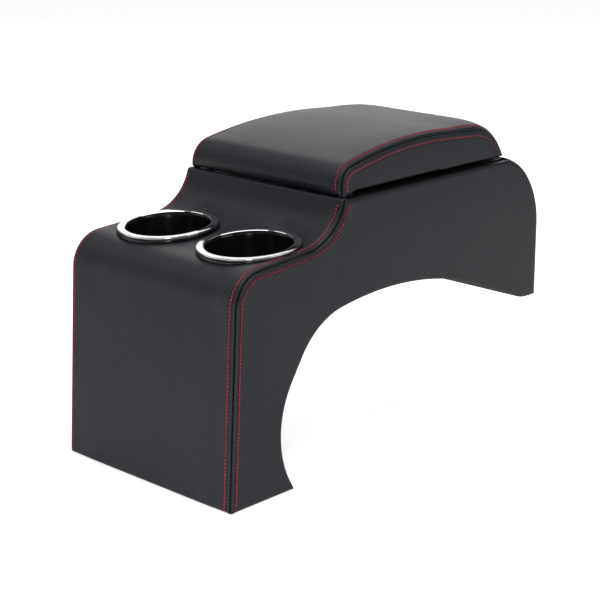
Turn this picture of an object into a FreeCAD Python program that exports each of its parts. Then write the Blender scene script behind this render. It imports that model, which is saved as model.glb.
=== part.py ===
import FreeCAD, Part
import math
import os
import Sketcher

# Driving sizes in millimetres. Runs are measured back from the front edge of the front foot,
# heights up from the floor, drops down from the front shoulder, setbacks forward from the rear face.
driving_sizes = {
    "side_taper": 0.0407,
    "body_length": 441.7,
    "front_lean": 11.0,
    "shoulder_height": 204.8,
    "shoulder_radius": 30.0,
    "deck_lip": 19.5,
    "deck_rise": 9.7,
    "cove_margin": 10.0,
    "cove_radius": 50.0,
    "riser_height": 35.5,
    "riser_lean": 12.2,
    "hip_setback": 50.2,
    "hip_drop": 21.8,
    "hip_radius": 76.0,
    "rear_foot_drop": 100.3,
    "rear_foot_length": 22.2,
    "rear_foot_radius": 55.0,
    "crown_run": 254.4,
    "crown_drop": 34.4,
    "crown_radius": 390.0,
    "arch_front_run": 109.7,
    "arch_front_drop": 56.5,
    "arch_front_radius": 79.0,
    "waist_share": 0.27,
    "waist_radius": 86.0,
    "ankle_run": 32.0,
    "leg_depth": 80.6,
    "cover_thickness": 3.0,
    "cover_edge_radius": 2.5,
    "panel_thickness": 5.0,
    "side_board_thickness": 6.0,
    "foot_board_thickness": 9.0,
    "foot_board_gap": 0.8,
    "flange_radius": 47.0,
    "flange_thickness": 3.6,
    "flange_side_margin": 4.4,
    "ring_width": 7.5,
    "ring_inset": 0.8,
    "ring_height": 2.0,
    "ring_bevel": 0.6,
    "cup_gap": 13.0,
    "cup_draft": 6.5,
    "cup_depth": 52.0,
    "cup_wall": 1.8,
    "cup_hole_gap": 0.5,
    "tub_wall": 2.5,
    "tub_gap": 1.0,
    "tub_corner_radius": 12.0,
    "rail_depth": 32.0,
    "rail_height": 24.0,
    "pin_radius": 1.2,
    "pin_clearance": 0.05,
    "knuckle_radius": 1.9,
    "knuckle_clearance": 0.3,
    "knuckle_length": 30.0,
    "leaf_thickness": 1.0,
    "leaf_width": 24.0,
    "screw_setback": 18.0,
    "hinge_offset": 2.8,
    "screw_radius": 1.5,
    "screw_head_radius": 2.8,
    "screw_head_height": 0.9,
    "screw_length": 8.0,
    "screw_pitch": 50.0,
    "screw_clearance": 0.05,
    "bumper_radius": 4.0,
    "bumper_inset": 9.0,
    "bumper_gap": 0.3,
    "lid_front_setback": 1.1,
    "lid_setback": 55.5,
    "lid_side_inset": 4.6,
    "lid_front_height": 18.7,
    "lid_front_radius": 19.0,
    "lid_crest_run": 84.5,
    "lid_crest_height": 36.8,
    "lid_crest_radius": 480.0,
    "lid_slope_run": 22.3,
    "lid_slope_height": 27.9,
    "lid_slope_radius": 66.0,
    "lid_board_thickness": 9.0,
    "lining_thickness": 1.2,
    "foam_edge": 2.0,
    "trim_margin": 40.0,
}


class Size:
    """A length that keeps its number together with the spreadsheet formula behind it."""

    def __init__(self, number, formula):
        self.number = number
        self.formula = formula

    def __add__(self, other):
        return Size(self.number + number_of(other), f"({self.formula} + {formula_of(other)})")

    def __sub__(self, other):
        return Size(self.number - number_of(other), f"({self.formula} - {formula_of(other)})")

    def __mul__(self, other):
        return Size(self.number * number_of(other), f"({self.formula} * {formula_of(other)})")

    def __truediv__(self, other):
        return Size(self.number / number_of(other), f"({self.formula} / {formula_of(other)})")

    def __neg__(self):
        return Size(-self.number, f"(-1 * {self.formula})")


def number_of(length):
    return length.number if isinstance(length, Size) else length


def formula_of(length):
    return length.formula if isinstance(length, Size) else repr(length)


def smaller(size, limit):
    return Size(min(size.number, limit), f"min({size.formula}; {limit})")


doc = FreeCAD.newDocument("BenchSeatConsole")
sheet = doc.addObject("Spreadsheet::Sheet", "Sizes")
for row, (alias, number) in enumerate(driving_sizes.items(), start=1):
    sheet.set(f"A{row}", alias)
    sheet.set(f"B{row}", str(number))
    sheet.setAlias(f"B{row}", alias)
doc.recompute()


def size(alias):
    return Size(float(sheet.get(alias)), f"Sizes.{alias}")


# Sizes that several pieces share
cover = size("cover_thickness")
panel = size("panel_thickness")
layer = cover + panel
side_inner = cover + size("side_board_thickness")
cup_side = size("flange_radius") + size("cup_gap") / 2
cup_mouth = size("flange_radius") - size("ring_width")
cup_run = size("front_lean") + size("deck_lip") + size("flange_radius")
cove_run = cup_run + size("flange_radius") + size("cove_margin")
cove_height = size("shoulder_height") + size("deck_rise")
riser_run = cove_run + size("riser_lean")
rim_height = cove_height + size("riser_height")
cup_line_half_width = cup_side + size("flange_radius") + size("flange_side_margin")
front_half_width = cup_line_half_width + size("side_taper") * cup_run
rear_foot_height = size("shoulder_height") - size("rear_foot_drop")
crown_height = size("shoulder_height") - size("crown_drop")
waist_run = size("leg_depth") - size("ankle_run")
waist_height = size("shoulder_height") * size("waist_share")
pin_height = rim_height + size("knuckle_radius") + size("knuckle_clearance")
lid_bottom = pin_height + size("knuckle_radius") + size("knuckle_clearance")
lid_front = riser_run + size("lid_front_setback")
lid_rear = size("body_length") - size("lid_setback")
pin_run = lid_rear + size("hinge_offset")
strip_start = pin_run + size("knuckle_radius") + size("knuckle_clearance")
rail_front = strip_start - size("rail_depth")
board_top = lid_bottom + size("lining_thickness") + size("lid_board_thickness")
tub_front = riser_run + layer + size("tub_gap")
tub_rear = rail_front - size("tub_gap")
tub_bottom = crown_height + panel + size("tub_gap")
flange_bottom = rim_height - cover
cup_deck_height = (size("shoulder_height")
                   + size("deck_rise") * (cup_run - size("front_lean")) / (cove_run - size("front_lean")))
deck_angle_formula = f"atan2({size('deck_rise').formula}; {(cove_run - size('front_lean')).formula})"


class Outline:
    """Named straight edges with rounded corners. The solid lies to the right of each edge."""

    def __init__(self, corners, cuts=(), spare=None):
        self.spare = spare or {}
        self.edges = {}
        self.radii = {}
        for place, (name, start, radius) in enumerate(corners):
            end = corners[(place + 1) % len(corners)][1]
            self.edges[name] = (start, end)
        for name, start, end in cuts:
            self.edges[name] = (start, end)
        self.round_corners(corners)

    def round_corners(self, corners):
        names = [name for name, start, radius in corners]
        tangents = []
        for place, (name, start, radius) in enumerate(corners):
            half_turn = abs(self.turn(names[place - 1], name)) / 2
            wanted = radius.number * math.tan(half_turn) if radius else 0.0
            tangents.append((wanted, math.tan(half_turn)))
        for place, (name, start, radius) in enumerate(corners):
            if radius:
                before = self.room(names[place - 1], tangents[place - 1][0], tangents[place][0])
                following = tangents[(place + 1) % len(corners)][0]
                after = self.room(name, following, tangents[place][0])
                share = min(before, after)
                if share < 1.0:
                    radius = smaller(radius, share * radius.number)
                self.radii[(names[place - 1], name)] = radius

    def room(self, name, other_tangent, own_tangent):
        straight_share = 0.98
        length = self.vector(name).Length - number_of(self.spare.get(name, 0))
        return straight_share * length / max(other_tangent + own_tangent, 0.001)

    def vector(self, name):
        start, end = self.edges[name]
        across = number_of(end[0]) - number_of(start[0])
        along = number_of(end[1]) - number_of(start[1])
        return FreeCAD.Vector(across, along)

    def turn(self, first, second):
        a = self.vector(first)
        b = self.vector(second)
        return math.atan2(a.x * b.y - a.y * b.x, a.x * b.x + a.y * b.y)

    def corner_radius(self, first, second, depth):
        if (first, second) in self.radii:
            radius = self.radii[(first, second)]
            convex = self.turn(first, second) < 0
        elif (second, first) in self.radii:
            radius = self.radii[(second, first)]
            convex = self.turn(second, first) < 0
        else:
            return None
        return radius - depth if convex else radius + depth

    def offset_line(self, name, depth):
        start = FreeCAD.Vector(number_of(self.edges[name][0][0]), number_of(self.edges[name][0][1]))
        direction = self.vector(name).normalize()
        inward = FreeCAD.Vector(direction.y, -direction.x)
        return start + inward * number_of(depth), direction


def crossing(first, second):
    """The point where two lines, each a point and a direction, meet."""
    point, direction = first
    other_point, other_direction = second
    determinant = direction.x * other_direction.y - direction.y * other_direction.x
    gap = other_point - point
    along = (gap.x * other_direction.y - gap.y * other_direction.x) / determinant
    return point + direction * along


def new_body(label):
    body = doc.addObject("PartDesign::Body", label)
    body.Label = label
    body.AllowCompound = True
    return body


def plane_of(body, role):
    return [plane for plane in body.Origin.OriginFeatures if plane.Role == role][0]


# A small turn about X, whose angle an expression then sets
tilt_about_x = FreeCAD.Placement(FreeCAD.Vector(), FreeCAD.Rotation(FreeCAD.Vector(1, 0, 0), 1))


def new_sketch(body, role, name, lift=None, shift=None, tilt_formula=None):
    """A sketch on one of the body's own planes, raised along its normal by lift."""
    sketch = body.newObject("Sketcher::SketchObject", f"{body.Label}_{name}")
    sketch.AttachmentSupport = [(plane_of(body, role), "")]
    sketch.MapMode = "FlatFace"
    if tilt_formula:
        sketch.AttachmentOffset = tilt_about_x
        sketch.setExpression("AttachmentOffset.Rotation.Angle", tilt_formula)
    if lift:
        sketch.setExpression("AttachmentOffset.Base.z", lift.formula)
    if shift:
        sketch.setExpression("AttachmentOffset.Base.y", shift.formula)
    return sketch


def bind_constraint(sketch, length, *terms):
    index = sketch.addConstraint(Sketcher.Constraint(*terms, length.number))
    sketch.setExpression(f"Constraints[{index}]", length.formula)


def fix_point(sketch, geometry, end, across, along):
    """Tie a sketch point to the sketch's origin by its two distances."""
    origin = (-1, 1)
    for kind, axis, length in (("DistanceX", -2, across), ("DistanceY", -1, along)):
        if not isinstance(length, Size):
            sketch.addConstraint(Sketcher.Constraint("PointOnObject", geometry, end, axis))
        elif length.number >= 0:
            bind_constraint(sketch, length, kind, *origin, geometry, end)
        else:
            bind_constraint(sketch, -length, kind, geometry, end, *origin)


def draw_section(sketch, outline, sides):
    """Draw a closed loop whose sides run parallel to the outline's edges, each at its own depth."""
    guides = {}
    for name, depth in sides:
        if name not in guides:
            start, end = outline.edges[name]
            ends = [FreeCAD.Vector(number_of(place[0]), number_of(place[1])) for place in (start, end)]
            guides[name] = sketch.addGeometry(Part.LineSegment(*ends), True)
            fix_point(sketch, guides[name], 1, *start)
            fix_point(sketch, guides[name], 2, *end)

    lines = [outline.offset_line(name, depth) for name, depth in sides]
    corners = [crossing(lines[place - 1], lines[place]) for place in range(len(sides))]
    radii = []
    for place, (name, depth) in enumerate(sides):
        previous_name, previous_depth = sides[place - 1]
        same_depth = number_of(previous_depth) == number_of(depth)
        radii.append(outline.corner_radius(previous_name, name, depth) if same_depth else None)

    trims = []
    for place, corner in enumerate(corners):
        before = corners[place - 1] - corner
        after = corners[(place + 1) % len(corners)] - corner
        reach = radii[place].number / math.tan(before.getAngle(after) / 2) if radii[place] else 0.0
        trims.append((corner + before.normalize() * reach, corner + after.normalize() * reach))

    segments = []
    for place, (name, depth) in enumerate(sides):
        start = trims[place][1]
        end = trims[(place + 1) % len(sides)][0]
        segment = sketch.addGeometry(Part.LineSegment(start, end))
        sketch.addConstraint(Sketcher.Constraint("Parallel", segment, guides[name]))
        if number_of(depth) == 0:
            sketch.addConstraint(Sketcher.Constraint("PointOnObject", segment, 1, guides[name]))
        else:
            bind_constraint(sketch, depth, "Distance", segment, 1, guides[name])
        segments.append(segment)

    for place, corner in enumerate(corners):
        before = segments[place - 1]
        after = segments[place]
        if radii[place] is None:
            sketch.addConstraint(Sketcher.Constraint("Coincident", before, 2, after, 1))
        else:
            draw_corner(sketch, corner, trims[place], radii[place], before, after)


def draw_corner(sketch, corner, ends, radius, before, after):
    """Round the corner between two segments with a tangent arc."""
    entry, leaving = ends
    middle = (entry + leaving) * 0.5
    toward_centre = (middle - corner).normalize()
    centre = corner + toward_centre * math.hypot(radius.number, (entry - corner).Length)
    start_angle = math.atan2(entry.y - centre.y, entry.x - centre.x)
    end_angle = math.atan2(leaving.y - centre.y, leaving.x - centre.x)
    counter_clockwise = math.sin(end_angle - start_angle) > 0
    angles = (start_angle, end_angle) if counter_clockwise else (end_angle, start_angle)
    circle = Part.Circle(centre, FreeCAD.Vector(0, 0, 1), radius.number)
    arc = sketch.addGeometry(Part.ArcOfCircle(circle, *angles))
    entry_end, leaving_end = (1, 2) if counter_clockwise else (2, 1)
    sketch.addConstraint(Sketcher.Constraint("Tangent", before, 2, arc, entry_end))
    sketch.addConstraint(Sketcher.Constraint("Tangent", arc, leaving_end, after, 1))
    bind_constraint(sketch, radius, "Radius", arc)


def draw_circle(sketch, across, along, radius):
    centre = FreeCAD.Vector(number_of(across), number_of(along))
    circle = sketch.addGeometry(Part.Circle(centre, FreeCAD.Vector(0, 0, 1), radius.number))
    fix_point(sketch, circle, 3, across, along)
    bind_constraint(sketch, radius, "Radius", circle)


def extrude(body, kind, sketch, length=None, both_ways=False, reverse=False):
    """Pad or pocket a sketch; with no length a pocket goes right through."""
    feature = body.newObject(f"PartDesign::{kind}", f"{sketch.Name}_{kind}")
    feature.Profile = sketch
    feature.Reversed = reverse
    if both_ways:
        feature.SideType = "Symmetric"
    if length:
        feature.setExpression("Length", length.formula)
    else:
        feature.Type = "ThroughAll"
    doc.recompute()
    return feature


def revolve(body, sketch):
    feature = body.newObject("PartDesign::Revolution", f"{sketch.Name}_turned")
    feature.Profile = sketch
    feature.ReferenceAxis = (sketch, ["V_Axis"])
    feature.Angle = 360.0
    doc.recompute()
    return feature


def repeat_across(body, features, span, copies):
    """Copy features along X, spread evenly over the span."""
    pattern = body.newObject("PartDesign::LinearPattern", f"{body.Label}_row")
    pattern.Originals = features
    across = [axis for axis in body.Origin.OriginFeatures if axis.Role == "X_Axis"][0]
    pattern.Direction = (across, [""])
    pattern.Occurrences = copies
    pattern.setExpression("Length", span.formula)
    body.Tip = pattern
    doc.recompute()


# The side view of the upholstered body, clockwise from the front foot's front edge
floor_front = (0, 0)
shoulder_corner = (size("front_lean"), size("shoulder_height"))
cove_corner = (cove_run, cove_height)
rim_front = (riser_run, rim_height)
hip_corner = (size("body_length") - size("hip_setback"), rim_height)
rear_corner = (size("body_length"), rim_height - size("hip_drop"))
heel_corner = (size("body_length"), rear_foot_height)
sole_corner = (size("body_length") - size("rear_foot_length"), rear_foot_height)
crown_corner = (size("crown_run"), crown_height)
arch_front_corner = (size("arch_front_run"), size("shoulder_height") - size("arch_front_drop"))
waist_corner = (waist_run, waist_height)
floor_rear = (size("leg_depth"), 0)
body_side = Outline(
    [
        ("front", floor_front, None),
        ("deck", shoulder_corner, size("shoulder_radius")),
        ("riser", cove_corner, size("cove_radius")),
        ("rim", rim_front, None),
        ("hip", hip_corner, None),
        ("rear", rear_corner, size("hip_radius")),
        ("sole", heel_corner, None),
        ("roof", sole_corner, size("rear_foot_radius")),
        ("brow", crown_corner, size("crown_radius")),
        ("shin", arch_front_corner, size("arch_front_radius")),
        ("ankle", waist_corner, size("waist_radius")),
        ("floor", floor_rear, None),
    ],
    cuts=[
        ("hinge_cut", (strip_start, 0), (strip_start, rim_height)),
        ("foot_top", (0, size("foot_board_thickness")), (size("leg_depth"), size("foot_board_thickness"))),
        ("rail_back", (strip_start, rim_height), (strip_start, 0)),
        ("rail_base", (strip_start, rim_height - size("rail_height")), (0, rim_height - size("rail_height"))),
        ("rail_face", (rail_front, 0), (rail_front, rim_height)),
    ],
    spare={"ankle": layer, "shin": layer},
)
whole_side = [(name, 0) for name in body_side.edges][:12]

# The side view of the lid, clockwise from its front lower edge
lid_side = Outline(
    [
        ("face", (lid_front, lid_bottom), None),
        ("rise", (lid_front, lid_bottom + size("lid_front_height")), size("lid_front_radius")),
        ("fall", (lid_front + size("lid_crest_run"), lid_bottom + size("lid_crest_height")),
         size("lid_crest_radius")),
        ("tail", (lid_rear - size("lid_slope_run"), lid_bottom + size("lid_slope_height")),
         size("lid_slope_radius")),
        ("base", (lid_rear, lid_bottom), None),
    ],
    cuts=[("board_top", (lid_front, board_top), (lid_rear, board_top))],
)

# The plan view, tapered from front to rear and drawn past both ends
plan_start = -size("trim_margin")
plan_end = size("body_length") + size("trim_margin")
margin_half_width = front_half_width + size("side_taper") * size("trim_margin")
frame_half_width = margin_half_width + size("trim_margin")


def plan_outline(corner_radius=None, start=plan_start, end=plan_end):
    """The tapered plan between two runs, clockwise from its left front corner."""
    start_half_width = front_half_width - size("side_taper") * start
    end_half_width = front_half_width - size("side_taper") * end
    return Outline(
        [
            ("left", (-start_half_width, start), corner_radius),
            ("back", (-end_half_width, end), corner_radius),
            ("right", (end_half_width, end), corner_radius),
            ("nose", (start_half_width, start), corner_radius),
        ]
    )


frame_outline = Outline(
    [
        ("left", (-frame_half_width, plan_start - size("trim_margin")), None),
        ("back", (-frame_half_width, plan_end + size("trim_margin")), None),
        ("right", (frame_half_width, plan_end + size("trim_margin")), None),
        ("nose", (frame_half_width, plan_start - size("trim_margin")), None),
    ]
)
all_round = ("left", "back", "right", "nose")


def inside_both_sides(depth):
    return [("left", depth), ("back", 0), ("right", depth), ("nose", 0)]


def trim_to_plan(body, sides):
    """Cut away all that lies outside the given loop in plan."""
    sketch = new_sketch(body, "XY_Plane", "plan")
    draw_section(sketch, frame_outline, [(name, 0) for name in all_round])
    draw_section(sketch, plan_outline(), sides)
    doc.recompute()
    extrude(body, "Pocket", sketch, both_ways=True)


def strip_between_sides(label, outline, sides, depth):
    """A piece with one side view all the way across, trimmed at a depth inside both tapered sides."""
    body = new_body(label)
    sketch = new_sketch(body, "YZ_Plane", "side_view")
    draw_section(sketch, outline, sides)
    doc.recompute()
    extrude(body, "Pad", sketch, frame_half_width * 2, both_ways=True)
    trim_to_plan(body, inside_both_sides(depth))
    return body


def side_slab(label, outline, sides, outer_depth, inner_depth):
    """A flat piece along the right side, between two depths inside the tapered side."""
    body = new_body(label)
    sketch = new_sketch(body, "YZ_Plane", "side_view")
    draw_section(sketch, outline, sides)
    doc.recompute()
    extrude(body, "Pad", sketch, frame_half_width)
    trim_to_plan(body, [("right", outer_depth), ("nose", 0), ("right", inner_depth), ("back", 0)])
    return body


def roll_outer_edges(body):
    """Round the edges of a side piece's outer face, as padded cloth rolls over a corner."""
    widest_faces = sorted(body.Shape.Faces, key=lambda face: face.Area)[-2:]
    outer_face = max(widest_faces, key=lambda face: face.CenterOfMass.x)
    names = []
    for place, edge in enumerate(body.Shape.Edges, start=1):
        if any(edge.isSame(outer_edge) for outer_edge in outer_face.Edges):
            names.append(f"Edge{place}")
    trimmed = body.Tip
    rolled = body.newObject("PartDesign::Fillet", f"{body.Label}_rolled_edges")
    rolled.Base = (trimmed, names)
    rolled.setExpression("Radius", size("cover_edge_radius").formula)
    doc.recompute()


def layer_sides(run, ends, outer_depth, inner_depth):
    """The sides of a bent sheet that follows a run of edges between two depths."""
    outward = [(name, outer_depth) for name in run]
    inward = [(name, inner_depth) for name in reversed(run)]
    return outward + [ends[1]] + inward + [ends[0]]


def mirrored(source, label):
    """The left-hand twin of a right-hand piece."""
    twin = doc.addObject("Part::Mirroring", label)
    twin.Label = label
    twin.Source = source
    twin.Normal = FreeCAD.Vector(1, 0, 0)
    return twin


def cut_cup_holes(body, radius, recess_radius):
    """Open both cup holes square to the deck and level the cove where the cup flanges sit."""
    for name, hole_radius, reverse in (("cup_holes", radius, None), ("flange_seats", recess_radius, True)):
        sketch = new_sketch(body, "XY_Plane", name, cup_deck_height, cup_run, deck_angle_formula)
        for across in (cup_side, -cup_side):
            draw_circle(sketch, across, 0, hole_radius)
        doc.recompute()
        if reverse:
            extrude(body, "Pocket", sketch, size("riser_height"), reverse=True)
        else:
            extrude(body, "Pocket", sketch, size("cup_depth"), both_ways=True)


# The wooden carcass
side_board_sides = [(name, layer) for name in ("front", "deck", "riser")] + [("rim", cover)]
side_board_sides += [(name, layer) for name in ("hip", "rear")]
side_board_sides += [(name, panel) for name in ("sole", "roof", "brow", "shin", "ankle")] + [("floor", 0)]
right_side_board = side_slab("right_side_board", body_side, side_board_sides, cover, side_inner)
left_side_board = mirrored(right_side_board, "left_side_board")

front_run = ("front", "deck", "riser")
front_ends = (("floor", 0), ("rim", 0))
flange_seat_radius = size("flange_radius") + size("cup_hole_gap")
cup_hole_radius = cup_mouth + size("cup_wall") + size("cup_hole_gap")
front_deck_panel = strip_between_sides(
    "front_deck_panel", body_side, layer_sides(front_run, front_ends, cover, layer), cover)
cut_cup_holes(front_deck_panel, cup_hole_radius, flange_seat_radius)

rear_run = ("hip", "rear")
rear_ends = (("hinge_cut", 0), ("sole", 0))
rear_panel = strip_between_sides(
    "rear_panel", body_side, layer_sides(rear_run, rear_ends, cover, layer), cover)

arch_run = ("sole", "roof", "brow", "shin", "ankle")
arch_ends = (("rear", layer), ("floor", 0))
arch_panel = strip_between_sides(
    "arch_panel", body_side, layer_sides(arch_run, arch_ends, 0, panel), cover)

foot_sides = [("front", layer), ("foot_top", 0), ("ankle", panel + size("foot_board_gap")), ("floor", 0)]
front_foot_board = strip_between_sides("front_foot_board", body_side, foot_sides, side_inner)

rail_sides = [("rail_face", 0), ("rim", 0), ("rail_back", 0), ("rail_base", 0)]
rear_rail = strip_between_sides("rear_rail", body_side, rail_sides, side_inner)

# The sewn covers
right_side_cover = side_slab("right_side_cover", body_side, whole_side, 0, cover)
roll_outer_edges(right_side_cover)
left_side_cover = mirrored(right_side_cover, "left_side_cover")
front_deck_cover = strip_between_sides(
    "front_deck_cover", body_side, layer_sides(front_run, front_ends, 0, cover), cover)
cut_cup_holes(front_deck_cover, cup_hole_radius, flange_seat_radius)
rear_cover = strip_between_sides(
    "rear_cover", body_side, layer_sides(rear_run, rear_ends, 0, cover), cover)


def make_storage_tub():
    """A moulded bin with a floor, four walls and side flanges that rest on the side boards."""
    body = new_body("storage_tub")
    square_plan = plan_outline(None, tub_front, tub_rear)
    wall_depth = side_inner + size("tub_gap")
    hollow_depth = wall_depth + size("tub_wall")
    basin = new_sketch(body, "XY_Plane", "basin", tub_bottom)
    draw_section(basin, square_plan, inside_both_sides(wall_depth))
    doc.recompute()
    extrude(body, "Pad", basin, flange_bottom - tub_bottom)
    flange = new_sketch(body, "XY_Plane", "flange", flange_bottom)
    flange_depth = cover + size("tub_gap")
    draw_section(flange, square_plan, inside_both_sides(flange_depth))
    doc.recompute()
    extrude(body, "Pad", flange, size("tub_wall"))
    hollow = new_sketch(body, "XY_Plane", "hollow", tub_bottom + size("tub_wall"))
    hollow_start = tub_front + size("tub_wall") - hollow_depth
    hollow_end = tub_rear - size("tub_wall") + hollow_depth
    hollow_plan = plan_outline(size("tub_corner_radius") + hollow_depth, hollow_start, hollow_end)
    draw_section(hollow, hollow_plan, [(name, hollow_depth) for name in all_round])
    doc.recompute()
    extrude(body, "Pocket", hollow, rim_height - tub_bottom, reverse=True)
    return body


storage_tub = make_storage_tub()


def turned_piece(label, corners):
    """A turned piece from its half section, with radius across and height up."""
    body = new_body(label)
    half_section = Outline(corners)
    sketch = new_sketch(body, "XZ_Plane", "half_section")
    draw_section(sketch, half_section, [(name, 0) for name in half_section.edges])
    doc.recompute()
    revolve(body, sketch)
    return body


def stand_on_deck(piece, across):
    """Set a turned piece square on the sloping deck, over its cup hole."""
    piece.Placement = tilt_about_x
    piece.setExpression("Placement.Rotation.Angle", deck_angle_formula)
    piece.setExpression("Placement.Base.x", across.formula)
    piece.setExpression("Placement.Base.y", (cup_run - size("leg_depth") / 2).formula)
    piece.setExpression("Placement.Base.z", cup_deck_height.formula)


def make_cup(label):
    """A tapered cup with a flat floor, hung from its flange."""
    base = cup_mouth - size("cup_draft")
    wall = size("cup_wall")
    floor_top = -size("cup_depth")
    return turned_piece(label, [
        ("floor_axis", (0, floor_top - wall), None),
        ("floor_inside", (0, floor_top), None),
        ("wall_inside", (base, floor_top), None),
        ("flange_top", (cup_mouth, size("flange_thickness")), None),
        ("flange_edge", (size("flange_radius"), size("flange_thickness")), None),
        ("flange_under", (size("flange_radius"), 0), None),
        ("wall_outside", (cup_mouth + wall, 0), None),
        ("floor_under", (base + wall, floor_top - wall), None),
    ])


def make_cup_ring(label):
    """A flat bright trim ring with a bevelled outer edge, seated on the cup's flange."""
    low = size("flange_thickness")
    high = low + size("ring_height")
    bevel = size("ring_bevel")
    outer = size("flange_radius") - size("ring_inset")
    return turned_piece(label, [
        ("bore", (cup_mouth, low), None),
        ("crown", (cup_mouth, high), None),
        ("outer_bevel", (outer - bevel, high), None),
        ("rim", (outer, high - bevel), None),
        ("seat", (outer, low), None),
    ])


cups = []
for side_name, across in (("left", -cup_side), ("right", cup_side)):
    for piece in (make_cup(f"cup_holder_{side_name}"), make_cup_ring(f"cup_ring_{side_name}")):
        stand_on_deck(piece, across)
        cups.append(piece)


# The piano hinge at the rear of the lid
body_knuckles = 3
lid_knuckles = 2
all_knuckles = body_knuckles + lid_knuckles
hinge_half_length = size("knuckle_length") * all_knuckles / 2


def make_hinge_leaf(label, knuckle_count, first_place, leaf_base, screw_places):
    """One leaf with its row of rolled knuckles, bored for the pin and drilled for its screws."""
    body = new_body(label)
    leaf_rear = pin_run - size("knuckle_radius") - size("knuckle_clearance")
    leaf_front = pin_run - size("leaf_width")
    leaf_top = leaf_base + size("leaf_thickness")
    plate = Outline([
        ("front_edge", (leaf_front, leaf_base), None),
        ("upper", (leaf_front, leaf_top), None),
        ("rear_edge", (leaf_rear, leaf_top), None),
        ("lower", (leaf_rear, leaf_base), None),
    ])
    sketch = new_sketch(body, "YZ_Plane", "plate")
    draw_section(sketch, plate, [(name, 0) for name in plate.edges])
    doc.recompute()
    extrude(body, "Pad", sketch, hinge_half_length * 2, both_ways=True)

    knuckle_start = size("knuckle_length") * first_place - hinge_half_length + size("knuckle_clearance")
    barrel_length = size("knuckle_length") - size("knuckle_clearance") * 2
    tongue = Outline([
        ("front_edge", (leaf_rear - size("leaf_thickness"), leaf_base), None),
        ("upper", (leaf_rear - size("leaf_thickness"), leaf_top), None),
        ("rear_edge", (pin_run, leaf_top), None),
        ("lower", (pin_run, leaf_base), None),
    ])
    tongue_sketch = new_sketch(body, "YZ_Plane", "tongue", knuckle_start)
    draw_section(tongue_sketch, tongue, [(name, 0) for name in tongue.edges])
    barrel_sketch = new_sketch(body, "YZ_Plane", "barrel", knuckle_start)
    draw_circle(barrel_sketch, pin_run, pin_height, size("knuckle_radius"))
    doc.recompute()
    parts = [extrude(body, "Pad", each, barrel_length) for each in (tongue_sketch, barrel_sketch)]
    repeat_across(body, parts, size("knuckle_length") * 2 * (knuckle_count - 1), knuckle_count)

    bore = new_sketch(body, "YZ_Plane", "bore")
    draw_circle(bore, pin_run, pin_height, size("pin_radius") + size("pin_clearance"))
    doc.recompute()
    extrude(body, "Pocket", bore, both_ways=True)
    drill(body, screw_places, size("screw_radius") + size("screw_clearance"))
    return body


def drill(body, places, radius):
    """Screw holes straight up and down through a piece."""
    holes = new_sketch(body, "XY_Plane", "screw_holes")
    for across in places:
        draw_circle(holes, across, screw_run, radius)
    doc.recompute()
    extrude(body, "Pocket", holes, both_ways=True)


screw_run = pin_run - size("screw_setback")
body_screw_places = (-size("screw_pitch"), 0, size("screw_pitch"))
lid_screw_places = (-size("screw_pitch") / 2, size("screw_pitch") / 2)
body_hinge_leaf = make_hinge_leaf("body_hinge_leaf", body_knuckles, 0, rim_height, body_screw_places)
lid_leaf_base = lid_bottom - size("leaf_thickness")
lid_hinge_leaf = make_hinge_leaf("lid_hinge_leaf", lid_knuckles, 1, lid_leaf_base, lid_screw_places)
drill(rear_rail, body_screw_places, size("screw_radius") + size("screw_clearance"))


def make_hinge_pin():
    body = new_body("hinge_pin")
    sketch = new_sketch(body, "YZ_Plane", "round")
    draw_circle(sketch, pin_run, pin_height, size("pin_radius"))
    doc.recompute()
    extrude(body, "Pad", sketch, hinge_half_length * 2, both_ways=True)
    return body


hinge_pin = make_hinge_pin()


def make_screws(label, places, leaf_face, upward):
    """A row of screws: a flat head on the leaf and a plain shank into the wood."""
    body = new_body(label)
    head_sketch = new_sketch(body, "XY_Plane", "heads", leaf_face)
    shank_sketch = new_sketch(body, "XY_Plane", "shanks", leaf_face)
    for across in places:
        draw_circle(head_sketch, across, screw_run, size("screw_head_radius"))
        draw_circle(shank_sketch, across, screw_run, size("screw_radius"))
    doc.recompute()
    extrude(body, "Pad", head_sketch, size("screw_head_height"), reverse=upward)
    extrude(body, "Pad", shank_sketch, size("screw_length"), reverse=not upward)
    return body


body_leaf_top = rim_height + size("leaf_thickness")
body_hinge_screws = make_screws("body_hinge_screws", body_screw_places, body_leaf_top, False)
lid_hinge_screws = make_screws("lid_hinge_screws", lid_screw_places, lid_leaf_base, True)


def make_bumpers():
    """Two rubber stops on the tub's side flanges that hold the closed lid off the rim."""
    body = new_body("lid_bumpers")
    seat = flange_bottom + size("tub_wall")
    bumper_run = tub_front + size("bumper_inset")
    flange_half_width = front_half_width - size("side_taper") * bumper_run - cover
    bumper_side = flange_half_width - size("bumper_inset")
    sketch = new_sketch(body, "XY_Plane", "stops", seat)
    for across in (bumper_side, -bumper_side):
        draw_circle(sketch, across, bumper_run, size("bumper_radius"))
    doc.recompute()
    extrude(body, "Pad", sketch, lid_bottom - seat - size("bumper_gap"))
    return body


lid_bumpers = make_bumpers()

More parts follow.
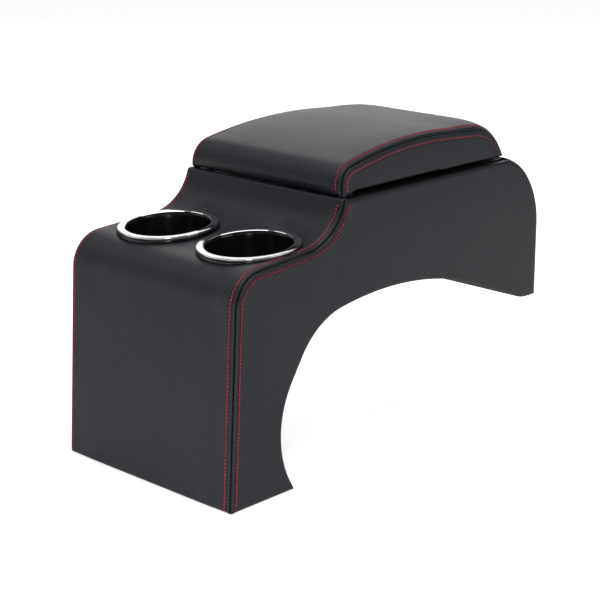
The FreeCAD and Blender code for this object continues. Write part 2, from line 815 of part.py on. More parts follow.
# The padded lid
lid_run = ("face", "rise", "fall", "tail")
lid_ends = (("base", 0), ("base", 0))
board_edge = cover + size("foam_edge")
lid_side_depth = size("lid_side_inset") + cover
lining = size("lining_thickness")
lid_board_sides = [("face", board_edge), ("board_top", 0), ("tail", board_edge), ("base", lining)]
lid_board = strip_between_sides("lid_board", lid_side, lid_board_sides, lid_side_depth)
drill(lid_board, lid_screw_places, size("screw_radius") + size("screw_clearance"))
board_outside = [("tail", board_edge), ("board_top", 0), ("face", board_edge)]
foam_sides = [(name, cover) for name in lid_run] + [("base", lining)] + board_outside + [("base", lining)]
lid_foam = strip_between_sides("lid_foam", lid_side, foam_sides, lid_side_depth)
lid_lining = strip_between_sides(
    "lid_lining", lid_side, [("face", cover), ("base", lining), ("tail", cover), ("base", 0)], lid_side_depth)
drill(lid_lining, lid_screw_places, size("screw_radius") + size("screw_clearance"))
lid_centre_cover = strip_between_sides(
    "lid_centre_cover", lid_side, layer_sides(lid_run, lid_ends, 0, cover), lid_side_depth)
lid_cover_sides = [(name, 0) for name in lid_run] + [("base", 0)]
lid_right_cover = side_slab(
    "lid_right_cover", lid_side, lid_cover_sides, size("lid_side_inset"), lid_side_depth)
roll_outer_edges(lid_right_cover)
lid_left_cover = mirrored(lid_right_cover, "lid_left_cover")

# The origin is the middle of the front foot, so every piece moves forward by half the foot's depth
placed_bodies = [each for each in doc.Objects if each.TypeId == "PartDesign::Body" and each not in cups]
for each in placed_bodies:
    each.setExpression("Placement.Base.y", (-size("leg_depth") / 2).formula)
doc.recompute()

pieces = [each for each in doc.Objects if each.TypeId in ("PartDesign::Body", "Part::Mirroring")]
for each in doc.Objects:
    if "Invalid" in each.State or "Error" in each.State:
        raise RuntimeError(f"{each.Label} did not build: {each.State}")
for piece in pieces:
    if piece.Shape.isNull() or not piece.Shape.isValid():
        raise RuntimeError(f"{piece.Label} has no valid shape")

os.makedirs("parts", exist_ok=True)
for piece in pieces:
    piece.Shape.exportStep(f"parts/{piece.Label}.step")
    print(piece.Label, len(piece.Shape.Solids), round(piece.Shape.Volume))
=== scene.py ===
import bpy
import math
from mathutils import Matrix, Vector


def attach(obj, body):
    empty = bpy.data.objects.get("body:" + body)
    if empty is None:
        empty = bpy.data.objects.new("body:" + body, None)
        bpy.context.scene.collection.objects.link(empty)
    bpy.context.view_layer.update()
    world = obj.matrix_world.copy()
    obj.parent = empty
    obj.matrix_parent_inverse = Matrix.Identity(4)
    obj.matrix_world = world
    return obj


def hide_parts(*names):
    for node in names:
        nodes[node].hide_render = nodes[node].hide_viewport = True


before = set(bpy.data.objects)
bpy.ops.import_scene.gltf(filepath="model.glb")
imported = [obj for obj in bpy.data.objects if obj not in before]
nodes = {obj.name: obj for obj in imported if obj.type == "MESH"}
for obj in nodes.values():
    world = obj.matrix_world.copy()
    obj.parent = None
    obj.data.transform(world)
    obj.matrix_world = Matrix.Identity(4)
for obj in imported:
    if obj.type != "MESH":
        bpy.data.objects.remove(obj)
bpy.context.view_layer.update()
print("frame loaded with", len(nodes), "nodes")

# Shared shape, in millimetres: run is back from the foot's front edge, height is up from the floor
shape = {
    "footMiddle": 40.3,       # run of the frame's origin
    "frontHalfWidth": 108.05,
    "taper": 0.0407,          # half width lost for each unit of run
    "step": 3.0,              # spacing along straights
    "arcStep": 4.0,           # degrees between points round a corner of a side piece
    "stripArcStep": 8.0,      # the same for a strip
    "lift": 2.6,              # padded faces stand this far proud of the seam line
    "flat": 14.0,             # distance from the seam at which the face is flat
    "skin": 2.2,              # thickness of a cover
}
# rows of a cover by distance from its seam, and how far each stands off the rolled edge
edgeRows = (0.0, 0.35, 0.8, 1.4, 2.2, 3.2, 4.2, 4.9, 5.4, 5.9, 6.6, 7.6, 9.0, 11.0, 14.0)
seamPuff = ((0, -1.3), (0.35, -0.5), (0.8, 0.1), (1.4, 0.4), (2.4, 0.6), (3.6, 0.45),
            (4.6, -0.05), (5.4, -0.5), (6.2, -0.12), (7.6, 0.1), (11.0, 0.0), (14.0, 0.0))
stitchRow = 5.4               # distance of the thread from the seam


def toFrame(x, run, height):
    return Vector((x, run - shape["footMiddle"], height)) / 1000


def halfWidth(run):
    return shape["frontHalfWidth"] - shape["taper"] * run


def smoothShare(low, high, at):
    share = min(1.0, max(0.0, (at - low) / (high - low)))
    return share * share * (3 - 2 * share)


def fromTable(table, at):
    for (low, first), (high, second) in zip(table, table[1:]):
        if at <= high:
            return first + (second - first) * smoothShare(low, high, at)
    return table[-1][1]


def seamRoll(away):
    # outward past the corner and up off the face, at a distance from the seam
    lift = shape["lift"]
    radius = lift * math.sqrt(2) / (math.sqrt(2) - 1)
    lean = max(0.0, math.pi / 4 - away / radius)
    past = max(0.0, away - radius * math.pi / 4)
    puff = fromTable(seamPuff, away)
    outward = lift - radius + (radius + puff) * math.sin(lean) - past
    return outward, lift - radius + (radius + puff) * math.cos(lean)


def plainRoll(away, depth):
    share = away / shape["flat"]
    return -depth * share, shape["lift"] * math.sqrt(1 - (1 - share) ** 2) - 0.3 * (1 - share)


rollKinds = {
    "seam": seamRoll,
    "plain": lambda away: plainRoll(away, 7.0),
    "fold": lambda away: plainRoll(away, 4.0),
    "hem": lambda away: plainRoll(away, 2.5),
}


def offsetLine(start, end, depth):
    along = (end - start).normalized()
    return start + Vector((along.y, -along.x)) * depth, along


def lineCrossing(first, second):
    cross = first[1].x * second[1].y - first[1].y * second[1].x
    gap = second[0] - first[0]
    return first[0] + first[1] * ((gap.x * second[1].y - gap.y * second[1].x) / cross)


def closedLoop(corners, depths):
    # clockwise loop of (point, edge) with each edge moved inward by its own depth
    count = len(corners)
    spots = [Vector(corner[:2]) for corner in corners]
    lines = [offsetLine(spots[i], spots[(i + 1) % count], depths[i]) for i in range(count)]
    places = [lineCrossing(lines[i - 1], lines[i]) for i in range(count)]
    turns, bends, reaches = [], [], []
    for i in range(count):
        back, on = -lines[i - 1][1], lines[i][1]
        turns.append(math.pi - back.angle(on))
        bends.append(-1 if back.x * on.y - back.y * on.x > 0 else 1)
        deep = max(depths[i - 1], depths[i]) if bends[i] < 0 else min(depths[i - 1], depths[i])
        size = max(0.2, corners[i][2] + bends[i] * deep) if corners[i][2] else 0
        reaches.append(size * math.tan(turns[i] / 2))
    shrink = [1.0] * count
    for i in range(count):
        following = (i + 1) % count
        room = (places[following] - places[i]).length
        need = reaches[i] + reaches[following]
        if need > room * 0.97:
            shrink[i] = min(shrink[i], room * 0.97 / need)
            shrink[following] = min(shrink[following], room * 0.97 / need)
    reaches = [reach * share for reach, share in zip(reaches, shrink)]
    points = []
    for i in range(count):
        back, on = -lines[i - 1][1], lines[i][1]
        if corners[i][2]:
            size = reaches[i] / math.tan(turns[i] / 2)
            centre = places[i] + (back + on).normalized() * size / math.cos(turns[i] / 2)
            first = places[i] + back * reaches[i] - centre
            pieces = max(3, round(math.degrees(turns[i]) / shape["arcStep"]),
                         round(corners[i][2] * turns[i] / shape["step"]))
            for k in range(pieces + 1):
                spot = centre + Matrix.Rotation(bends[i] * turns[i] * k / pieces, 2) @ first
                points.append((spot, (i - 1) % count if 2 * k < pieces else i))
        else:
            points.append((places[i], i))
        following = (i + 1) % count
        start = points[-1][0]
        end = places[following] - on * reaches[following]
        pieces = max(1, round((spots[following] - spots[i]).length / shape["step"]))
        points += [(start.lerp(end, k / pieces), i) for k in range(1, pieces)]
    return points


def openPath(corners):
    # points and outward normals from the first corner to the last
    spots = [Vector(corner[:2]) for corner in corners]
    points = [spots[0]]

    def lineTo(end):
        start = points[-1]
        pieces = max(1, round((end - start).length / shape["step"]))
        points.extend(start.lerp(end, k / pieces) for k in range(1, pieces + 1))

    for i in range(1, len(corners) - 1):
        back = (spots[i - 1] - spots[i]).normalized()
        on = (spots[i + 1] - spots[i]).normalized()
        turn = math.pi - back.angle(on)
        radius = corners[i][2]
        lineTo(spots[i] + back * radius * math.tan(turn / 2))
        centre = spots[i] + (back + on).normalized() * radius / math.cos(turn / 2)
        first = points[-1] - centre
        way = -1 if back.x * on.y - back.y * on.x > 0 else 1
        pieces = max(4, round(math.degrees(turn) / shape["stripArcStep"]),
                     round(radius * turn / shape["step"]))
        for k in range(1, pieces + 1):
            points.append(centre + Matrix.Rotation(way * turn * k / pieces, 2) @ first)
    lineTo(spots[-1])
    normals = []
    for i in range(len(points)):
        along = points[min(i + 1, len(points) - 1)] - points[max(i - 1, 0)]
        normals.append(Vector((-along.y, along.x)).normalized())
    return points, normals


def pickOnly(obj):
    bpy.ops.object.select_all(action="DESELECT")
    obj.select_set(True)
    bpy.context.view_layer.objects.active = obj


def applyModifier(obj, kind, **settings):
    modifier = obj.modifiers.new(kind.lower(), kind)
    for key, value in settings.items():
        setattr(modifier, key, value)
    pickOnly(obj)
    bpy.ops.object.modifier_apply(modifier=modifier.name)


def editAll(obj, *steps):
    pickOnly(obj)
    bpy.ops.object.mode_set(mode="EDIT")
    bpy.ops.mesh.select_all(action="SELECT")
    for step in steps:
        step()
    bpy.ops.object.mode_set(mode="OBJECT")


def gridSheet(name, rows, columns, place):
    bpy.ops.object.select_all(action="DESELECT")
    bpy.ops.mesh.primitive_grid_add(x_subdivisions=columns - 1, y_subdivisions=rows - 1, size=1)
    obj = bpy.context.object
    obj.name = name
    for vertex in obj.data.vertices:
        vertex.co = place(vertex.index // columns, vertex.index % columns)
    return obj


def finishPiece(obj, look, body, replaced=(), angle=35):
    obj.data.materials.clear()
    obj.data.materials.append(look)
    pickOnly(obj)
    bpy.ops.object.shade_smooth_by_angle(angle=math.radians(angle))
    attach(obj, body)
    if replaced:
        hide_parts(*replaced)


# Looks
def newLook(name, colour, roughness, metallic=0.0, specular=0.5):
    look = bpy.data.materials.new(name)
    look.use_nodes = True
    shader = look.node_tree.nodes["Principled BSDF"]
    shader.inputs["Base Color"].default_value = (*colour, 1)
    shader.inputs["Roughness"].default_value = roughness
    shader.inputs["Metallic"].default_value = metallic
    shader.inputs["Specular IOR Level"].default_value = specular
    return look, look.node_tree, shader


def addTexture(tree, kind, scale, **settings):
    coords = next((node for node in tree.nodes if node.type == "TEX_COORD"), None)
    coords = coords or tree.nodes.new("ShaderNodeTexCoord")
    texture = tree.nodes.new(kind)
    texture.inputs["Scale"].default_value = scale
    for key, value in settings.items():
        texture.inputs[key].default_value = value
    tree.links.new(coords.outputs["Object"], texture.inputs["Vector"])
    return texture


def addBump(tree, shader, output, strength, distance):
    bump = tree.nodes.new("ShaderNodeBump")
    bump.inputs["Strength"].default_value = strength
    bump.inputs["Distance"].default_value = distance
    tree.links.new(output, bump.inputs["Height"])
    former = shader.inputs["Normal"].links
    if former:
        tree.links.new(former[0].from_socket, bump.inputs["Normal"])
    tree.links.new(bump.outputs["Normal"], shader.inputs["Normal"])


def spreadTo(tree, output, socket, low, high):
    spread = tree.nodes.new("ShaderNodeMapRange")
    spread.inputs["From Min"].default_value = 0.3
    spread.inputs["From Max"].default_value = 0.7
    spread.inputs["To Min"].default_value = low
    spread.inputs["To Max"].default_value = high
    tree.links.new(output, spread.inputs["Value"])
    tree.links.new(spread.outputs["Result"], socket)


def leatherLook(name, settings):
    roughness = settings["roughness"]
    look, tree, shader = newLook(name, settings["colour"], roughness, specular=settings["specular"])
    cells = addTexture(tree, "ShaderNodeTexVoronoi", settings["cellScale"])
    pores = addTexture(tree, "ShaderNodeTexNoise", settings["poreScale"], Detail=3)
    waves = addTexture(tree, "ShaderNodeTexNoise", settings["waveScale"], Detail=2)
    addBump(tree, shader, waves.outputs["Fac"], settings["waveStrength"], 0.004)
    addBump(tree, shader, pores.outputs["Fac"], settings["poreStrength"], 0.0003)
    addBump(tree, shader, cells.outputs["Distance"], settings["cellStrength"], 0.0004)
    spreadTo(tree, pores.outputs["Fac"], shader.inputs["Roughness"], roughness - 0.05, roughness + 0.05)
    return look


def clothLook(name, colour, scale):
    look, tree, shader = newLook(name, colour, 0.9, specular=0.2)
    weave = addTexture(tree, "ShaderNodeTexNoise", scale, Detail=3)
    addBump(tree, shader, weave.outputs["Fac"], 0.5, 0.0006)
    return look


def woodLook(name, dark, light):
    look, tree, shader = newLook(name, light, 0.7)
    grain = addTexture(tree, "ShaderNodeTexWave", 40, Distortion=9, Detail=3)
    mix = tree.nodes.new("ShaderNodeMix")
    mix.data_type = "RGBA"
    mix.inputs["A"].default_value = (*dark, 1)
    mix.inputs["B"].default_value = (*light, 1)
    tree.links.new(grain.outputs["Fac"], mix.inputs["Factor"])
    tree.links.new(mix.outputs["Result"], shader.inputs["Base Color"])
    return look


leather = leatherLook("black leather", {
    "colour": (0.0072, 0.0097, 0.0158), "roughness": 0.40, "specular": 0.5,
    "cellScale": 900, "cellStrength": 0.5, "poreScale": 2000, "poreStrength": 0.35,
    "waveScale": 30, "waveStrength": 0.12,
})
thread, threadTree, threadShader = newLook("red thread", (0.46, 0.04, 0.07), 0.6, specular=0.35)
twist = addTexture(threadTree, "ShaderNodeTexWave", 900)
addBump(threadTree, threadShader, twist.outputs["Fac"], 0.5, 0.0002)
chrome, chromeTree, chromeShader = newLook("chrome", (0.86, 0.87, 0.88), 0.07, metallic=1.0)
gloss, glossTree, glossShader = newLook("gloss black plastic", (0.006, 0.006, 0.007), 0.12)
matt, mattTree, mattShader = newLook("matt black plastic", (0.012, 0.012, 0.013), 0.6)
addBump(mattTree, mattShader, addTexture(mattTree, "ShaderNodeTexNoise", 1500).outputs["Fac"], 0.3, 0.0003)
steel, steelTree, steelShader = newLook("brushed steel", (0.55, 0.55, 0.56), 0.32, metallic=1.0)
rubber, rubberTree, rubberShader = newLook("black rubber", (0.015, 0.015, 0.015), 0.75)
stainedWood = woodLook("stained board", (0.012, 0.011, 0.010), (0.017, 0.015, 0.014))
lining = clothLook("lining cloth", (0.012, 0.012, 0.013), 900)
foam = clothLook("foam", (0.30, 0.29, 0.26), 500)
nodeLooks = {
    "board": (stainedWood, ("left_side_board", "right_side_board", "front_deck_panel", "rear_panel",
                            "front_foot_board", "rear_rail", "lid_board")),
    "arch_lining": (stainedWood, ("arch_panel",)),
    "lining": (lining, ("lid_lining",)),
    "tub_plastic": (matt, ("storage_tub",)),
    "cup_plastic": (gloss, ("cup_holder_left", "cup_holder_right")),
    "ring_chrome": (chrome, ("cup_ring_left", "cup_ring_right")),
    "hinge_steel": (steel, ("body_hinge_leaf", "lid_hinge_leaf", "hinge_pin", "body_hinge_screws",
                            "lid_hinge_screws")),
    "rubber": (rubber, ("lid_bumpers",)),
    "foam": (foam, ("lid_foam",)),
    "upholstery": (leather, ("left_side_cover", "right_side_cover", "front_deck_cover", "rear_cover",
                             "lid_centre_cover", "lid_left_cover", "lid_right_cover")),
}
for slotName, (look, names) in nodeLooks.items():
    for nodeName in names:
        nodes[nodeName].data.materials.clear()
        nodes[nodeName].data.materials.append(look)
print("looks ready")


# Sewn cover pieces
def bandColumns(width, middleStep):
    count = 2 * round((shape["frontHalfWidth"] - shape["flat"]) / middleStep)
    return [(width - shape["flat"]) * (2 * k / count - 1) for k in range(1, count)]


def pieceWidth(settings, run, height):
    return halfWidth(run) - settings["inset"] - settings["lean"] * max(0.0, height - settings["leanFrom"])


def pathShares(path):
    travel = [0.0]
    for start, end in zip(path, path[1:]):
        travel.append(travel[-1] + (end - start).length)
    return [reached / travel[-1] for reached in travel]


def crownAt(settings, share, x, width):
    return fromTable(settings["crown"], share) * max(0.0, 1 - abs(x / width) ** settings["fullness"])


def makeStrip(name, settings):
    path, normals = openPath(settings["corners"])
    shares = pathShares(path)
    roll = rollKinds[settings["kind"]]
    edge = len(edgeRows)
    columns = 2 * edge + len(bandColumns(0, settings["middleStep"]))

    def place(row, column):
        spot, normal = path[row], normals[row]
        share = shares[row]
        width = pieceWidth(settings, spot.x, spot.y)
        flip = -1 if column < edge else 1
        middle = edge <= column < columns - edge
        if middle:
            x, up = bandColumns(width, settings["middleStep"])[column - edge], shape["lift"]
        else:
            outward, up = roll(edgeRows[column if flip < 0 else columns - 1 - column])
            x = flip * (width + outward)
        fade = smoothShare(shape["flat"] - 7, shape["flat"] + 20, width - abs(x))
        up *= 1 + (fromTable(settings["middleLift"], share) - 1) * fade
        up += crownAt(settings, share, x, width)
        up *= fromTable(settings["endFade"], share) * (1 + min(0.0, normal.y))
        return toFrame(x, spot.x + normal.x * up, spot.y + normal.y * up)

    return gridSheet(name, len(path), columns, place)


def makeSide(name, settings, flip):
    corners, kinds = settings["corners"], settings["kinds"]
    rings = []
    for away in edgeRows:
        rolls = [rollKinds[kind](away) for kind in kinds]
        loop = closedLoop(corners, [-roll[0] for roll in rolls])
        rings.append([toFrame(flip * (pieceWidth(settings, *spot) + rolls[edge][1]), *spot)
                      for spot, edge in loop])
    back = closedLoop(corners, [2.5 if kind == "seam" else 0.2 for kind in kinds])  # hidden inner face
    rings.insert(0, [toFrame(flip * (pieceWidth(settings, *spot) - 2.8), *spot) for spot, edge in back])
    around = len(rings[0])
    obj = gridSheet(name, len(rings), around + 1, lambda row, column: rings[row][column % around])
    editAll(obj, lambda: bpy.ops.mesh.remove_doubles(threshold=1e-6),
            lambda: bpy.ops.mesh.fill_holes(sides=0),
            lambda: bpy.ops.mesh.normals_make_consistent(inside=False))
    return obj


def thicken(obj):
    applyModifier(obj, "SOLIDIFY", thickness=shape["skin"] / 1000, offset=-1)


# corners are (run, height, radius); other tables give a value by share of the way along the strip
bodyFront = {
    "corners": ((9, 0.4), (0, 0.4, 2.5), (11, 204.8, 30), (134.5, 214.5, 50), (146.7, 250, 3), (152, 250)),
    "kind": "seam", "middleStep": 4.0,
    "middleLift": ((0, 1.3), (0.39, 1.2), (0.55, 0.3), (0.915, 0.3), (0.985, 0.8), (1, 0.8)),
    "endFade": ((0, 1), (0.982, 1), (0.991, 0.5), (1, 0.5)),
    "inset": 0, "lean": 0, "leanFrom": 0, "crown": ((0, 0), (1, 0)), "fullness": 5,
}
bodyRear = {
    "corners": ((391.8, 249.9), (441.7, 228.2, 76), (441.7, 104.7, 3), (432, 104.7)),
    "kind": "plain", "middleStep": 5.0,
    "middleLift": ((0, 1), (1, 1)),
    "endFade": ((0, 0.5), (0.166, 1), (1, 1)),
    "inset": 0, "lean": 0, "leanFrom": 0, "crown": ((0, 0), (1, 0)), "fullness": 5,
}
bodySide = {
    "corners": ((0, 0, 0), (11, 204.8, 30), (134.5, 214.5, 50), (146.7, 250, 0), (391.5, 250, 0),
                (441.7, 228.2, 76), (441.7, 104.5, 0), (419.5, 104.5, 55), (254.4, 170.4, 390),
                (109.7, 148.3, 79), (48.6, 55.3, 86), (80.6, 0, 0)),
    "kinds": ("seam", "seam", "seam", "fold", "plain", "plain", "fold", "fold", "fold", "fold", "fold",
              "fold"),
    "inset": 0, "lean": 0, "leanFrom": 0,
}
cups = {
    "x": 53.5, "run": 77.5, "deckHeight": 210.02, "slope": math.atan2(9.7, 123.5),
    "clear": 48.5, "blend": 55.0, "bed": 4.2, "hole": 43.5,
}
deckNormal = Vector((0, -math.sin(cups["slope"]), math.cos(cups["slope"])))


def cupCentre(flip):
    return toFrame(flip * cups["x"], cups["run"], cups["deckHeight"])


def pressUnderRings(obj):
    for vertex in obj.data.vertices:
        centre = cupCentre(1 if vertex.co.x > 0 else -1)
        offset = vertex.co - centre
        height = offset.dot(deckNormal) * 1000
        away = (offset - deckNormal * offset.dot(deckNormal)).length * 1000
        if away < cups["blend"] and height > cups["bed"]:
            share = smoothShare(cups["clear"], cups["blend"], away)
            vertex.co -= deckNormal * (height - cups["bed"]) * (1 - share) / 1000


def cutCupHole(obj, flip):
    bpy.ops.object.select_all(action="DESELECT")
    bpy.ops.mesh.primitive_cylinder_add(vertices=96, radius=cups["hole"] / 1000, depth=0.05,
                                        location=cupCentre(flip), rotation=(cups["slope"], 0, 0))
    cutter = bpy.context.object
    applyModifier(obj, "BOOLEAN", object=cutter, operation="DIFFERENCE", solver="EXACT")
    bpy.data.objects.remove(cutter)


frontCover = makeStrip("front_skin", bodyFront)
pressUnderRings(frontCover)
thicken(frontCover)
for vertex in frontCover.data.vertices:
    vertex.co.z = max(vertex.co.z, 0.0002)  # the turned-in lip stays off the floor
for flip in (-1, 1):
    cutCupHole(frontCover, flip)
finishPiece(frontCover, leather, "console", ["front_deck_cover"])
rearCover = makeStrip("rear_skin", bodyRear)
thicken(rearCover)
finishPiece(rearCover, leather, "console", ["rear_cover"])
for flip, sideName in ((-1, "left"), (1, "right")):
    sideCover = makeSide(sideName + "_side_skin", bodySide, flip)
    finishPiece(sideCover, leather, "console", [sideName + "_side_cover"])
print("body covers sewn")

lidTop = {
    "corners": ((155, 252.0), (147.8, 252.0, 3), (147.8, 273.1, 19), (232.3, 291.2, 480),
                (368.5, 283.0, 50), (386.2, 254.4, 3), (379.5, 254.4)),
    "kind": "seam", "middleStep": 5.0,
    "middleLift": ((0, 1), (1, 1)),
    "endFade": ((0, 1), (1, 1)),
    "inset": 4.6, "lean": 0.11, "leanFrom": 254, "fullness": 7,
    "crown": ((0, 0), (0.0225, -2.0), (0.0525, 0.8), (0.13, 2.0), (0.30, 2.6), (0.65, 3.4), (0.80, 5.6),
              (0.88, 7.4), (0.94, 6.0), (0.975, 2.2), (1, 0)),
}
lidSide = {
    "corners": ((147.8, 252.0, 0), (147.8, 273.1, 19), (232.3, 291.2, 480), (368.5, 283.0, 50),
                (386.2, 254.4, 0), (290, 254.6, 0), (280, 255.6, 6), (166, 255.2, 20)),
    "kinds": ("seam", "seam", "seam", "seam", "hem", "hem", "hem", "hem"),
    "inset": 4.6, "lean": 0.11, "leanFrom": 254,
}
lidSwell = {
    "pressure": 6.0, "frames": 20,
    "cap": 5.0,                    # furthest a point may move
    "held": 8.0, "free": 26.0,     # distance from a seam or an end
    "front": 0.06, "rear": 0.93,   # ends, as shares of the way along
}


def swellPad(obj, settings, form):
    # cloth with air under it, held at the seams and both ends
    path, normals = openPath(form["corners"])
    shares = pathShares(path)
    length = sum((end - start).length for start, end in zip(path, path[1:]))
    columns = len(obj.data.vertices) // len(path)
    before = [vertex.co.copy() for vertex in obj.data.vertices]
    sewn = obj.vertex_groups.new(name="sewn")
    for vertex in obj.data.vertices:
        row = vertex.index // columns
        fromSeam = pieceWidth(form, path[row].x, path[row].y) - abs(vertex.co.x) * 1000
        fromEnd = min(shares[row] - settings["front"], settings["rear"] - shares[row]) * length
        loose = smoothShare(settings["held"], settings["free"], min(fromSeam, fromEnd))
        sewn.add([vertex.index], 1 - loose, "REPLACE")
    cloth = obj.modifiers.new("swell", "CLOTH")
    cloth.settings.use_pressure = True
    cloth.settings.uniform_pressure_force = settings["pressure"]
    cloth.settings.effector_weights.gravity = 0
    cloth.settings.vertex_group_mass = "sewn"
    cloth.point_cache.frame_end = settings["frames"]
    for frameNumber in range(1, settings["frames"] + 1):
        bpy.context.scene.frame_set(frameNumber)
    pickOnly(obj)
    bpy.ops.object.modifier_apply(modifier=cloth.name)
    bpy.context.scene.frame_set(1)
    obj.vertex_groups.clear()
    largest = 0.0
    for vertex, start in zip(obj.data.vertices, before):
        move = vertex.co - start
        largest = max(largest, move.length * 1000)
        if move.length > settings["cap"] / 1000:
            vertex.co = start + move.normalized() * settings["cap"] / 1000
    print("lid pad swelled by up to", round(largest, 2), "mm")


lidCover = makeStrip("lid_top_skin", lidTop)
swellPad(lidCover, lidSwell, lidTop)
thicken(lidCover)
finishPiece(lidCover, leather, "lid", ["lid_centre_cover"])
for flip, sideName in ((-1, "left"), (1, "right")):
    lidEdge = makeSide("lid_" + sideName + "_skin", lidSide, flip)
    finishPiece(lidEdge, leather, "lid", ["lid_" + sideName + "_cover"])
print("lid covers sewn")


# Stitching
stitch = {
    "pitch": 3.4, "length": 3.0, "thickness": 1.5, "height": 1.2,
    "slant": 24,                   # degrees across the row
    "rise": 0.45,                  # how far the thread stands off the cover
    "bodyStart": 3, "bodyStop": (144.6, 251), "lidStart": 256, "lidStop": (375, 261),
    "bodyReach": {"edge": (0.5, 5.0), "side": (0.5, 6.5)},
    "lidReach": {"edge": (0.5, 2.0), "side": (1.8, 1.5)},
}


def stitchPath(settings, flip, onSide, first, last, reach):
    # from a height to a point near the strip's far end, drawn out straight at both ends
    path, normals = openPath(settings["corners"])
    outward, up = seamRoll(stitchRow)
    points = []
    for spot, normal, share in zip(path, normals, pathShares(path)):
        if spot.y < first or (spot.y <= last[1] and spot.x > last[0]):
            continue
        width = pieceWidth(settings, spot.x, spot.y)
        rise = stitch["rise"] + (0 if onSide else crownAt(settings, share, width + outward, width))
        along, across = (outward, up + rise) if onSide else (up + rise, outward)
        place = spot + normal * along
        points.append(toFrame(flip * (width + across), *place))
    points.insert(0, points[0] + (points[0] - points[1]).normalized() * reach[0] / 1000)
    points.append(points[-1] + (points[-1] - points[-2]).normalized() * reach[1] / 1000)
    return points


def sewRow(name, points, body):
    curve = bpy.data.curves.new(name + " path", "CURVE")
    curve.dimensions = "3D"
    line = curve.splines.new("POLY")
    line.points.add(len(points) - 1)
    for point, spot in zip(line.points, points):
        point.co = (*spot, 1)
    guide = bpy.data.objects.new(name + " path", curve)
    bpy.context.scene.collection.objects.link(guide)
    bpy.ops.object.select_all(action="DESELECT")
    bpy.ops.mesh.primitive_uv_sphere_add(segments=10, ring_count=6, radius=0.5)
    obj = bpy.context.object
    obj.name = name
    for vertex in obj.data.vertices:
        vertex.co = Matrix.Rotation(math.radians(90), 3, "Y") @ vertex.co
        vertex.co = Vector((vertex.co.x * stitch["length"], vertex.co.y * stitch["thickness"],
                            vertex.co.z * stitch["height"])) / 1000
        vertex.co = Matrix.Rotation(math.radians(stitch["slant"]), 3, "Z") @ vertex.co
        vertex.co.x += stitch["pitch"] / 2000
    length = sum((b - a).length for a, b in zip(points, points[1:]))
    applyModifier(obj, "ARRAY", fit_type="FIXED_COUNT", count=int(length * 1000 / stitch["pitch"]),
                  use_relative_offset=False, use_constant_offset=True,
                  constant_offset_displace=(stitch["pitch"] / 1000, 0, 0))
    applyModifier(obj, "CURVE", object=guide, deform_axis="POS_X")
    bpy.data.objects.remove(guide)
    bpy.data.curves.remove(curve)
    finishPiece(obj, thread, body, angle=80)


for flip, sideName in ((-1, "left"), (1, "right")):
    for rowPlace in ("edge", "side"):
        rowName = sideName + "_" + rowPlace + "_stitching"
        onSide = rowPlace == "side"
        bodyRow = stitchPath(bodyFront, flip, onSide, stitch["bodyStart"], stitch["bodyStop"],
                             stitch["bodyReach"][rowPlace])
        sewRow("body_" + rowName, bodyRow, "console")
        lidRow = stitchPath(lidTop, flip, onSide, stitch["lidStart"], stitch["lidStop"],
                            stitch["lidReach"][rowPlace])
        sewRow("lid_" + rowName, lidRow, "lid")
print("stitching done")

# Cups
cupForm = {
    # half sections as (radius, height above the deck)
    "cup": ((0, -53.6), (33.5, -53.6), (40.6, -1.5), (41.6, 0.2), (46.8, 0.2), (47.4, 0.8), (47.5, 2.9),
            (47.2, 3.7), (46.4, 4.2), (39.6, 4.2), (39.2, 3.6), (38.9, 2.0), (33.2, -49), (31.0, -51.4),
            (28.0, -52), (0, -52)),
    "ring": ((39.3, 4.2), (39.3, 4.9), (39.8, 5.35), (45.4, 5.5), (46.1, 5.2), (46.3, 4.6), (46.2, 4.2)),
    "steps": 96,
}


def spinPiece(name, profile, flip):
    bpy.ops.object.select_all(action="DESELECT")
    bpy.ops.mesh.primitive_circle_add(vertices=len(profile), radius=1)
    obj = bpy.context.object
    obj.name = name
    for vertex, (radius, height) in zip(obj.data.vertices, profile):
        vertex.co = (radius / 1000, 0, height / 1000)
    if profile[0][0] == 0:
        pickOnly(obj)
        bpy.ops.object.mode_set(mode="EDIT")
        bpy.ops.mesh.select_all(action="DESELECT")
        bpy.ops.object.mode_set(mode="OBJECT")
        closing = next(edge for edge in obj.data.edges if set(edge.vertices) == {0, len(profile) - 1})
        closing.select = True
        bpy.ops.object.mode_set(mode="EDIT")
        bpy.ops.mesh.select_mode(type="EDGE")
        bpy.ops.mesh.delete(type="EDGE")
        bpy.ops.mesh.select_mode(type="VERT")
        bpy.ops.object.mode_set(mode="OBJECT")
    applyModifier(obj, "SCREW", angle=2 * math.pi, axis="Z", steps=cupForm["steps"],
                  use_merge_vertices=True, merge_threshold=1e-6)
    turn = Matrix.Translation(cupCentre(flip)) @ Matrix.Rotation(cups["slope"], 4, "X")
    obj.data.transform(turn)
    editAll(obj, lambda: bpy.ops.mesh.remove_doubles(threshold=1e-6),
            lambda: bpy.ops.mesh.normals_make_consistent(inside=False))
    return obj


for flip, sideName in ((-1, "left"), (1, "right")):
    cupShell = spinPiece(sideName + "_cup_shell", cupForm["cup"], flip)
    finishPiece(cupShell, gloss, "console", ["cup_holder_" + sideName], angle=40)
    cupRing = spinPiece(sideName + "_chrome_ring", cupForm["ring"], flip)
    finishPiece(cupRing, chrome, "console", ["cup_ring_" + sideName], angle=40)
print("cups turned")

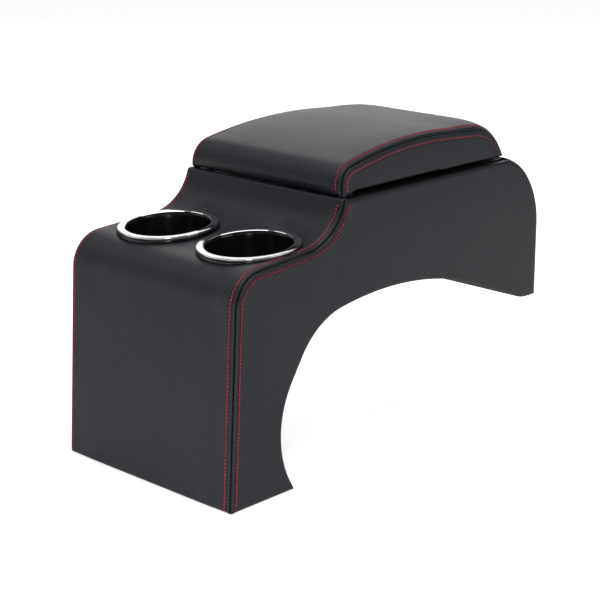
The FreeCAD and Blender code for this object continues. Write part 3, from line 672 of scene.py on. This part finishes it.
# Stage, light and camera
view = {"place": (1.1186, -0.9792, 0.5822), "azimuth": 44.622, "elevation": 15.870, "lens": 104.42}
lights = (  # name, place, target, size, power and spread in degrees
    ("overhead", (0.05, 0.02, 1.8), (0.0, 0.15, 0.2), 1.6, 14, 180),
    ("back wall", (-1.9, 2.1, 1.35), (0.0, 0.15, 0.2), 2.4, 17, 180),
    ("front left", (-1.15, -1.15, 0.4), (-1.15, -1.14, 0.0), 1.2, 4.6, 180),
    ("left high", (-1.35, -0.55, 1.5), (0.0, 0.0, 0.2), 0.8, 2.0, 180),
    ("right", (1.9, 0.5, 0.9), (0.0, 0.15, 0.15), 1.0, 3.5, 180),
    ("rear right", (1.0, 1.1, 0.4), (1.0, 1.11, 0.0), 1.0, 2.4, 180),
    ("low front", (1.35, -1.25, 0.07), (0.1, 0.0, 0.12), 0.4, 3.4, 180),
    ("floor patch", (1.3, -1.2, 1.5), (0.46, -0.46, 0.0), 0.3, 1.6, 30),
)
bpy.ops.object.select_all(action="DESELECT")
bpy.ops.mesh.primitive_plane_add(size=12, location=(0, 0, -0.0005))
floor = bpy.context.object
floor.name = "floor"
floorLook, floorTree, floorShader = newLook("pale floor", (0.93, 0.93, 0.93), 0.9, specular=0.1)
floorRay = floorTree.nodes.new("ShaderNodeLightPath")
floorGlow = floorTree.nodes.new("ShaderNodeMath")
floorGlow.operation = "MULTIPLY_ADD"
floorGlow.inputs[1].default_value = 0.73
floorGlow.inputs[2].default_value = 0.02
floorTree.links.new(floorRay.outputs["Is Camera Ray"], floorGlow.inputs[0])
floorTree.links.new(floorGlow.outputs["Value"], floorShader.inputs["Emission Strength"])
floorShader.inputs["Emission Color"].default_value = (1, 1, 1, 1)
floor.data.materials.append(floorLook)
for name, place, target, size, energy, spread in lights:
    lamp = bpy.data.lights.new(name, "AREA")
    lamp.energy = energy
    lamp.size = size
    lamp.spread = math.radians(spread)
    holder = bpy.data.objects.new(name, lamp)
    bpy.context.scene.collection.objects.link(holder)
    holder.location = place
    holder.rotation_euler = (Vector(place) - Vector(target)).to_track_quat("Z", "Y").to_euler()
world = bpy.data.worlds.new("pale room")
bpy.context.scene.world = world
world.use_nodes = True
backdrop = world.node_tree.nodes["Background"]
backdrop.inputs["Color"].default_value = (1, 1, 1, 1)
ray = world.node_tree.nodes.new("ShaderNodeLightPath")
amount = world.node_tree.nodes.new("ShaderNodeMapRange")
amount.inputs["To Min"].default_value = 0.22
amount.inputs["To Max"].default_value = 1.0
world.node_tree.links.new(ray.outputs["Is Camera Ray"], amount.inputs["Value"])
world.node_tree.links.new(amount.outputs["Result"], backdrop.inputs["Strength"])
camera = bpy.data.objects.new("camera", bpy.data.cameras.new("camera"))
bpy.context.scene.collection.objects.link(camera)
camera.data.lens = view["lens"]
camera.data.sensor_width = 36
across, tilt = math.radians(view["azimuth"]), math.radians(view["elevation"])
right = Vector((math.cos(across), math.sin(across), 0))
back = Vector((math.sin(across) * math.cos(tilt), -math.cos(across) * math.cos(tilt), math.sin(tilt)))
up = back.cross(right)
turn = Matrix((right, up, back)).transposed().to_4x4()
camera.matrix_world = Matrix.Translation(Vector(view["place"])) @ turn
bpy.context.scene.camera = camera
bpy.context.scene.view_settings.view_transform = "Standard"
print("stage set")
